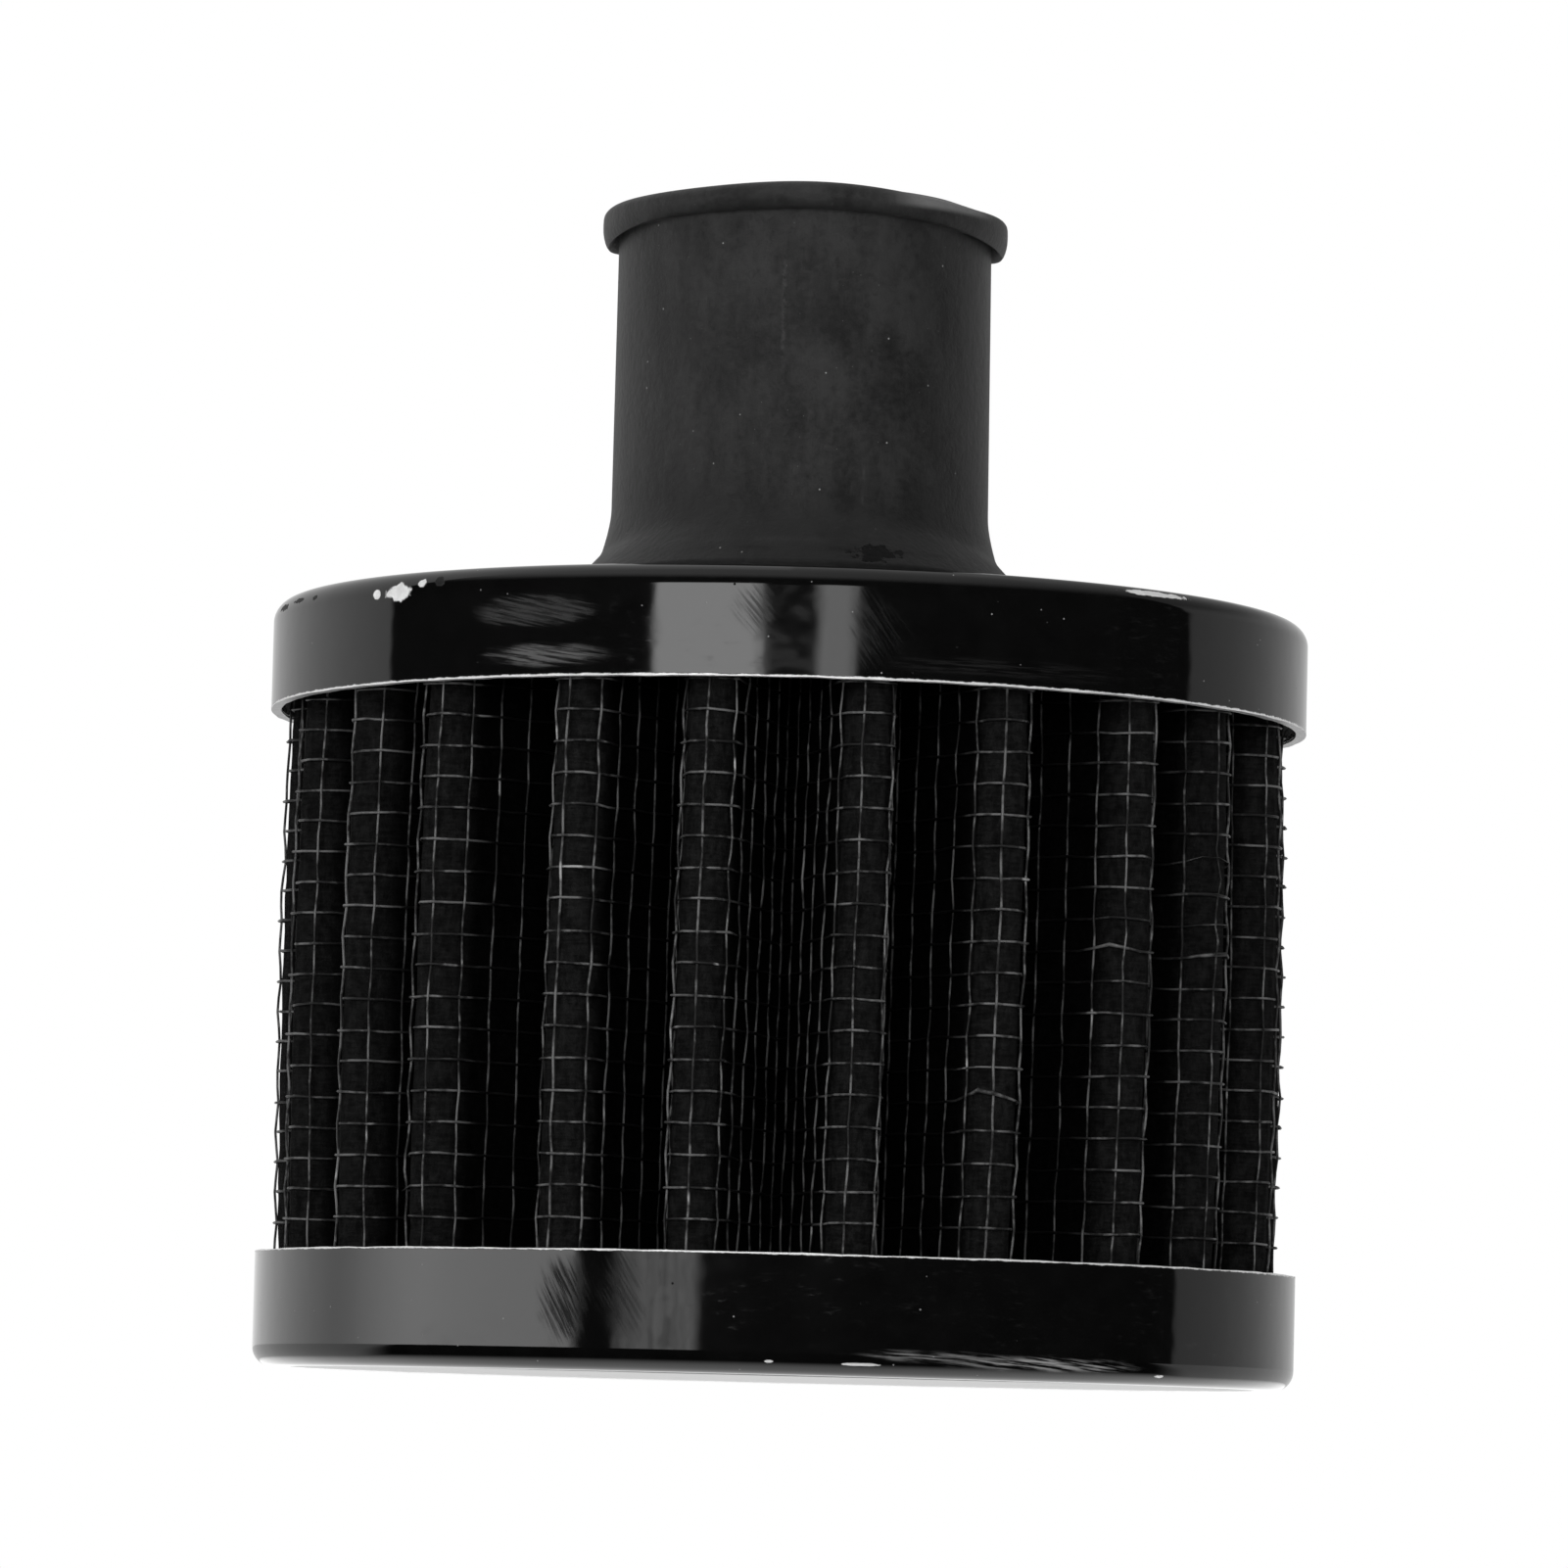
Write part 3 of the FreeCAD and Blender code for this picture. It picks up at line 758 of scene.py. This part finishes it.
def weave_tree():
    """Geometry nodes that set a strand at every place, crimp it over and under, and round it.

    A link named i0 or i1 goes to the socket of that number, for sockets that share a name.
    """
    tree = bpy.data.node_groups.new("woven_strands", "GeometryNodeTree")
    for name, kind in (("Places", "NodeSocketGeometry"), ("Strand", "NodeSocketObject"),
                       ("Wire Radius", "NodeSocketFloat"), ("Crimp", "NodeSocketFloat"),
                       ("Wander", "NodeSocketFloat"), ("Sides", "NodeSocketInt"),
                       ("Finish", "NodeSocketMaterial")):
        tree.interface.new_socket(name, in_out="INPUT", socket_type=kind)
    tree.interface.new_socket("Wire", in_out="OUTPUT", socket_type="NodeSocketGeometry")

    def add(kind, settings=None, **links):
        node = tree.nodes.new(kind)
        for key, value in (settings or {}).items():
            setattr(node, key, value)
        for key, value in links.items():
            socket = node.inputs[int(key[1:]) if key[1:].isdigit() else key.replace("_", " ")]
            if isinstance(value, bpy.types.NodeSocket):
                tree.links.new(value, socket)
            else:
                socket.default_value = value
        return node

    def named(name, kind):
        return add("GeometryNodeInputNamedAttribute", {"data_type": kind}, Name=name).outputs[0]

    start = add("NodeGroupInput").outputs
    strand = add("GeometryNodeObjectInfo", Object=start["Strand"]).outputs["Geometry"]
    placed = add("GeometryNodeInstanceOnPoints", Points=start["Places"], Instance=strand)
    real = add("GeometryNodeRealizeInstances", Geometry=placed.outputs[0])
    signs = add("ShaderNodeMath", {"operation": "MULTIPLY"}, i0=named("strand_sign", "FLOAT"),
                i1=named("place_sign", "FLOAT")).outputs[0]
    lift = add("ShaderNodeMath", {"operation": "MULTIPLY"}, i0=signs, i1=start["Crimp"]).outputs[0]
    over = add("ShaderNodeVectorMath", {"operation": "SCALE"}, i0=named("outward", "FLOAT_VECTOR"),
               Scale=lift).outputs[0]
    drift = add("ShaderNodeTexNoise", Scale=WANDER_SCALE / MM, Detail=2.0).outputs["Color"]
    centred = add("ShaderNodeVectorMath", {"operation": "SUBTRACT"}, i0=drift,
                  i1=(0.5, 0.5, 0.5)).outputs[0]
    wander = add("ShaderNodeVectorMath", {"operation": "SCALE"}, i0=centred,
                 Scale=start["Wander"]).outputs[0]
    moved = add("ShaderNodeVectorMath", {"operation": "ADD"}, i0=over, i1=wander).outputs[0]
    bent = add("GeometryNodeSetPosition", Geometry=real.outputs[0], Offset=moved)
    line = add("GeometryNodeMeshToCurve", Mesh=bent.outputs[0])
    ring = add("GeometryNodeCurvePrimitiveCircle", Resolution=start["Sides"],
               Radius=start["Wire Radius"])
    solid = add("GeometryNodeCurveToMesh", Curve=line.outputs[0], Profile_Curve=ring.outputs[0])
    done = add("GeometryNodeRealizeInstances", Geometry=solid.outputs[0])
    dressed = add("GeometryNodeSetMaterial", Geometry=done.outputs[0], Material=start["Finish"])
    end = add("NodeGroupOutput")
    tree.links.new(dressed.outputs[0], end.inputs[0])
    return tree


def weave(name, tree, places, strand, material, crimp):
    """Run the weave on a set of places and keep its result as one plain mesh."""
    modifier = places.modifiers.new("weave", "NODES")
    modifier.node_group = tree
    values = {"Strand": strand, "Wire Radius": WIRE_RADIUS * MM, "Crimp": crimp * MM,
              "Wander": WIRE_WANDER * MM, "Sides": WIRE_SIDES, "Finish": material}
    for item in tree.interface.items_tree:
        if item.in_out == "INPUT" and item.name in values:
            modifier[item.identifier] = values[item.name]
    depsgraph = bpy.context.evaluated_depsgraph_get()
    mesh = bpy.data.meshes.new_from_object(places.evaluated_get(depsgraph), depsgraph=depsgraph)
    mesh.name = name
    for attribute in ("strand_sign", "place_sign", "outward"):
        if attribute in mesh.attributes:
            mesh.attributes.remove(mesh.attributes[attribute])
    mesh.shade_smooth()
    return add_object(name, mesh)


# pulled wires: degrees from the front, height, reach, how far they stand out and rise
SNAGS = [(39.0, 20.9, 1.5, 0.3, 0.8), (56.5, 24.3, 1.5, 0.35, 0.9), (58.0, 21.1, 1.5, 0.3, 0.9),
         (22.6, 13.4, 1.6, 0.2, 0.7), (38.0, 31.0, 1.5, 0.2, -0.5), (0.5, 24.5, 1.4, 0.2, 0.5),
         (-66.0, 17.0, 2.0, 0.3, 0.5), (-48.0, 9.0, 1.8, 0.2, -0.5)]


def settle(places):
    """Bulge and twist the pack a little about its middle height."""
    middle = (PACK_LOW.z + PACK_HIGH.z) / 2
    up = (places[:, 2] - middle) / (PACK_HIGH.z - middle)
    radius = np.hypot(places[:, 0], places[:, 1])
    bearing = np.arctan2(places[:, 1], places[:, 0]) + math.radians(PACK_TWIST) * up
    share = np.clip(radius - INNER_FOLD_RING, 0, SWELL_DEPTH) / SWELL_DEPTH
    radius = radius + PACK_BULGE * (1 - up ** 2) * share
    return np.column_stack([radius * np.cos(bearing), radius * np.sin(bearing), places[:, 2]])


def pull_snags(piece, lift):
    """Pull wires out of place at the snags, and keep every one inside the caps."""
    mesh = piece.data
    places = np.empty(len(mesh.vertices) * 3, np.float32)
    mesh.vertices.foreach_get("co", places)
    places = settle(places.reshape(-1, 3) / MM)
    radius = np.hypot(places[:, 0], places[:, 1])
    outward = places * np.array([1, 1, 0]) / radius[:, None]
    for degrees, height, reach, out, rise in SNAGS:
        centre = np.append(polar(CREST_RING + MESH_OFFSET, degrees), height)
        apart = (places - centre) * np.array([1, 1, SNAG_SQUASH])
        near = np.exp(-(apart ** 2).sum(1) / (0.5 * reach ** 2))
        places += outward * (near * out)[:, None]
        places[:, 2] += near * rise * lift
    over = np.maximum(1.0, np.hypot(places[:, 0], places[:, 1]) / (CAP_RADIUS - CAP_MARGIN))
    places[:, :2] /= over[:, None]
    mesh.vertices.foreach_set("co", (places * MM).astype(np.float32).ravel())
    mesh.update()


def make_outer_mesh():
    """Plain weave: hoops that follow the pleats, and upright wires that cross them over and under."""
    tree = weave_tree()
    points, normals = resample(*pleat_path(MESH_OFFSET), WARP_PITCH / 2, 4)
    signs = np.tile([1.0, 0.0, -1.0, 0.0], len(points) // 4)
    low, high = PACK_LOW.z + END_MARGIN, PACK_HIGH.z - END_MARGIN
    rows = int((high - low) / ROW_PITCH)
    first = (low + high - (rows - 1) * ROW_PITCH) / 2
    heights = first + ROW_PITCH * np.arange(rows)
    ring = np.column_stack([points, np.zeros(len(points))])
    hoop = wire_guide("hoop_guide", ring * MM, signs, normals, closed=True)
    levels = np.column_stack([np.zeros((rows, 2)), heights])
    stack = wire_guide("level_guide", levels * MM, (-1.0) ** np.arange(rows), joined=False)
    crossings = np.arange(0, len(points), 2)
    feet = wire_guide("foot_guide", ring[crossings] * MM, signs[crossings], normals[crossings],
                      joined=False)
    halves = np.repeat(heights, 2)[:-1] + np.tile([0, ROW_PITCH / 2], rows)[:-1]
    ups = np.concatenate([[low], halves, [high]])
    turns = np.zeros(len(ups))
    turns[1:-1:2] = -((-1.0) ** np.arange(rows))
    upright = wire_guide("upright_guide", np.column_stack([np.zeros((len(ups), 2)), ups]) * MM, turns)
    hoops = weave("mesh_hoops", tree, stack, hoop, wire("hoop_wire", HOOP_SHADE_SHARE), HOOP_CRIMP)
    uprights = weave("mesh_uprights", tree, feet, upright, wire("upright_wire", UPRIGHT_SHADE_SHARE),
                     UPRIGHT_CRIMP)
    for guide in (hoop, stack, feet, upright):
        bpy.data.objects.remove(guide)
    for piece, lift in ((hoops, 1.0), (uprights, UPRIGHT_LIFT)):
        pull_snags(piece, lift)
        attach(piece, "root")
        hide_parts("outer_mesh")


def pleated_wall(name, offset, thickness, rows, swell, material):
    """A pleated sheet from one parallel line inwards, its outer skin swollen unevenly."""
    points, normals = resample(*pleat_path(offset), WALL_SPACING, 1)
    levels = np.linspace(PACK_LOW.z, PACK_HIGH.z, rows + 1)
    maker = bmesh.new()
    rings = []
    for level in levels:
        places = np.column_stack([points, np.full(len(points), level)])
        bumps = np.array([swell * noise.noise(Vector(place) * SWELL_SCALE) for place in places])
        places[:, :2] += normals * bumps[:, None]
        rings.append([maker.verts.new(Vector(place) * MM) for place in settle(places)])
    for level in levels[::-1]:
        places = np.column_stack([points - normals * thickness, np.full(len(points), level)])
        rings.append([maker.verts.new(Vector(place) * MM) for place in settle(places)])
    for ring, other in zip(rings, rings[1:] + rings[:1]):
        for index in range(len(ring)):
            after = (index + 1) % len(ring)
            maker.faces.new((ring[index], ring[after], other[after], other[index]))
    return finish_piece(name, maker, material, PLEAT_CREASE)


def make_pack():
    gauze_pleats = pleated_wall("gauze_pleats", GAUZE_OFFSET, GAUZE_THICKNESS, GAUZE_ROWS,
                                GAUZE_SWELL, gauze())
    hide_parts("filter_media")
    inner_pleats = pleated_wall("inner_pleats", INNER_OFFSET, INNER_THICKNESS, INNER_ROWS,
                                0.0, screen())
    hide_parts("inner_mesh")


def dress_nodes():
    """Finishes of the construction model's own pieces that show as they are."""
    cast = resin()
    for node in ("top_potting", "bottom_potting"):
        nodes[node].data.materials.clear()
        nodes[node].data.materials.append(cast)


# Studio

FLOOR_RADIUS = 1500.0
FLOOR_DROP = 0.03
AMBIENT = 0.25
LAMP_SIZE = 260
LAMP_TARGET = (0, 0, 28)

# where the white table shows in the bottom cap's gloss: a ring under its edge, its face, and in front
EDGE_GLOW = (23.6, 25.6)
FACE_GLOW = (23.6, 23.2)
FRONT_GLOW = (-18, -15.5)

# the room in the gloss, by bearing from the front and height above level in degrees: where a part
# starts and is full, or the two sides of a window
LEFT_WALL = (-97, -99)
RIGHT_WALL = (97, 99)
RIGHT_WALL_FAR = (110, 160)
RIGHT_WALL_DIM = (12, 30)
LEFT_LOW = (-42.5, -45.5)
LEFT_LOW_BRIGHT = (-115, -80)
LOW_HEIGHT = (4.2, 1.8)
WINDOW_LEFT = (-30, -6.5)
WINDOW_MIDDLE = (-7, 7)
WINDOW_RIGHT = (6, 14)
WINDOW_LOW = (-34, -16)
WINDOW_TOP = (14, 9)
WINDOW_GLOW = 4.5
GLAZING_BAR = 5.65
CEILING = (30, 60)
ROOM_DARK = 0.012


def make_floor():
    """A pale floor that can only be seen from above, because the camera looks from just under it."""
    maker = bmesh.new()
    bmesh.ops.create_circle(maker, cap_ends=True, segments=96, radius=FLOOR_RADIUS * MM,
                            matrix=Matrix.Translation((0, 0, -FLOOR_DROP * MM)))
    mesh = bpy.data.meshes.new("studio_floor")
    maker.to_mesh(mesh)
    maker.free()
    floor = add_object("studio_floor", mesh)
    material = bpy.data.materials.new("studio_floor")
    material.use_nodes = True
    shading = Shading(material.node_tree)
    shading.tree.nodes.clear()
    path = shading.node("ShaderNodeLightPath", {})
    seen = path["Is Camera Ray"]
    under = shading.node("ShaderNodeNewGeometry", {})["Backfacing"]
    matte = shading.node("ShaderNodeBsdfDiffuse", {}, Color=grey(0.85))["BSDF"]
    clear = shading.node("ShaderNodeBsdfTransparent", {})["BSDF"]
    place = shading.node("ShaderNodeTexCoord", {})["Object"]
    place = shading.vector("SCALE", place, Scale=1 / MM)
    apart = shading.node("ShaderNodeSeparateXYZ", {}, place)
    far = shading.vector("LENGTH", place)
    seen_white = seen * (0.45 + far.fade(80, 500) * 0.55)
    under_edge = far.within(*EDGE_GLOW, 0.4) * 1.5
    under_face = far.fade(*FACE_GLOW) * 0.2
    mirrored = under_edge.bigger(under_face).bigger(apart["Y"].fade(*FRONT_GLOW) * 0.7)
    level = mirrored.bigger(1 - path["Is Glossy Ray"])
    white = shading.node("ShaderNodeEmission", {}, Color=level, Strength=1.0)["Emission"]
    top = shading.node("ShaderNodeMixShader", {}, seen_white.bigger(path["Is Glossy Ray"]), matte,
                       white)["Shader"]
    both = shading.node("ShaderNodeMixShader", {}, under * seen, top, clear)["Shader"]
    shading.node("ShaderNodeOutputMaterial", {}, both)
    mesh.materials.append(material)


def make_world():
    """White all round for the eye, and for reflections a dark room with white walls and windows."""
    world = bpy.data.worlds.new("studio")
    world.use_nodes = True
    bpy.context.scene.world = world
    shading = Shading(world.node_tree)
    shading.tree.nodes.clear()
    path = shading.node("ShaderNodeLightPath", {})
    toward = shading.node("ShaderNodeTexCoord", {})["Generated"]
    apart = shading.node("ShaderNodeSeparateXYZ", {}, toward)
    across, depth, rise = apart["X"], apart["Y"], apart["Z"]
    grain = shading.clouds(shading.vector("MULTIPLY", toward, (1, 1, 6)), 30.0, 4.0, 0.7)
    bearing = across.math("ARCTAN2", depth * -1) * (180 / math.pi)
    ragged = bearing + (grain - 0.5) * 7
    lift = rise.math("ARCSINE") * (180 / math.pi)
    low = lift.fade(*LOW_HEIGHT)
    right_wall = bearing.fade(*RIGHT_WALL) * (0.42 + bearing.fade(*RIGHT_WALL_FAR) * 0.25)
    right_wall = right_wall * (1 - lift.fade(*RIGHT_WALL_DIM) * 0.5)
    behind = bearing.fade(*LEFT_WALL) * 0.75 + right_wall
    left_low = ragged.fade(*LEFT_LOW) * low * (1.0 + bearing.fade(*LEFT_LOW_BRIGHT) * 2.0)
    window_high = ragged.within(*WINDOW_LEFT, 1.5) + ragged.within(*WINDOW_RIGHT, 1.5) * 0.6
    bar = (lift - GLAZING_BAR).absolute().fade(0.14, 0.06)
    window_high = window_high + ragged.within(*WINDOW_MIDDLE, 1.0) * bar * 0.28
    window_low = ragged.within(*WINDOW_LOW, 1.5) * (0.19 + grain.fade(0.35, 0.7) * 0.4)
    window = (window_high * (1 - low) + window_low * low) * WINDOW_GLOW * lift.fade(*WINDOW_TOP)
    room = behind.bigger(left_low).bigger(window).bigger(ROOM_DARK)
    overhead = lift.fade(*CEILING) * (0.55 - across * 0.3)
    glossy = room.bigger(overhead)
    shown = path["Is Camera Ray"].bigger(path["Is Transmission Ray"])
    level = (path["Is Glossy Ray"] * glossy).bigger(shown).bigger(path["Is Diffuse Ray"] * AMBIENT)
    sky = shading.node("ShaderNodeBackground", {}, Color=level, Strength=1.0)["Background"]
    shading.node("ShaderNodeOutputWorld", {}, sky)


def lamp(name, place, power):
    """A soft lamp that faces the middle of the object and doesn't show in its gloss."""
    data = bpy.data.lights.new(name, "AREA")
    data.size = LAMP_SIZE * MM
    data.energy = power
    light = add_object(name, data)
    light.location = Vector(place) * MM
    light.rotation_euler = (Vector(LAMP_TARGET) - Vector(place)).to_track_quat("-Z", "Y").to_euler()
    light.visible_glossy = False


def make_studio():
    make_floor()
    make_world()
    lamp("left_lamp", (-420, -420, 240), 1.9)
    lamp("right_lamp", (420, -380, 240), 0.9)
    lamp("front_lamp", (30, -620, 130), 2.3)
    bpy.context.scene.view_settings.view_transform = "Standard"


make_camera()
make_caps()
make_neck()
make_pack()
make_outer_mesh()
dress_nodes()
make_studio()
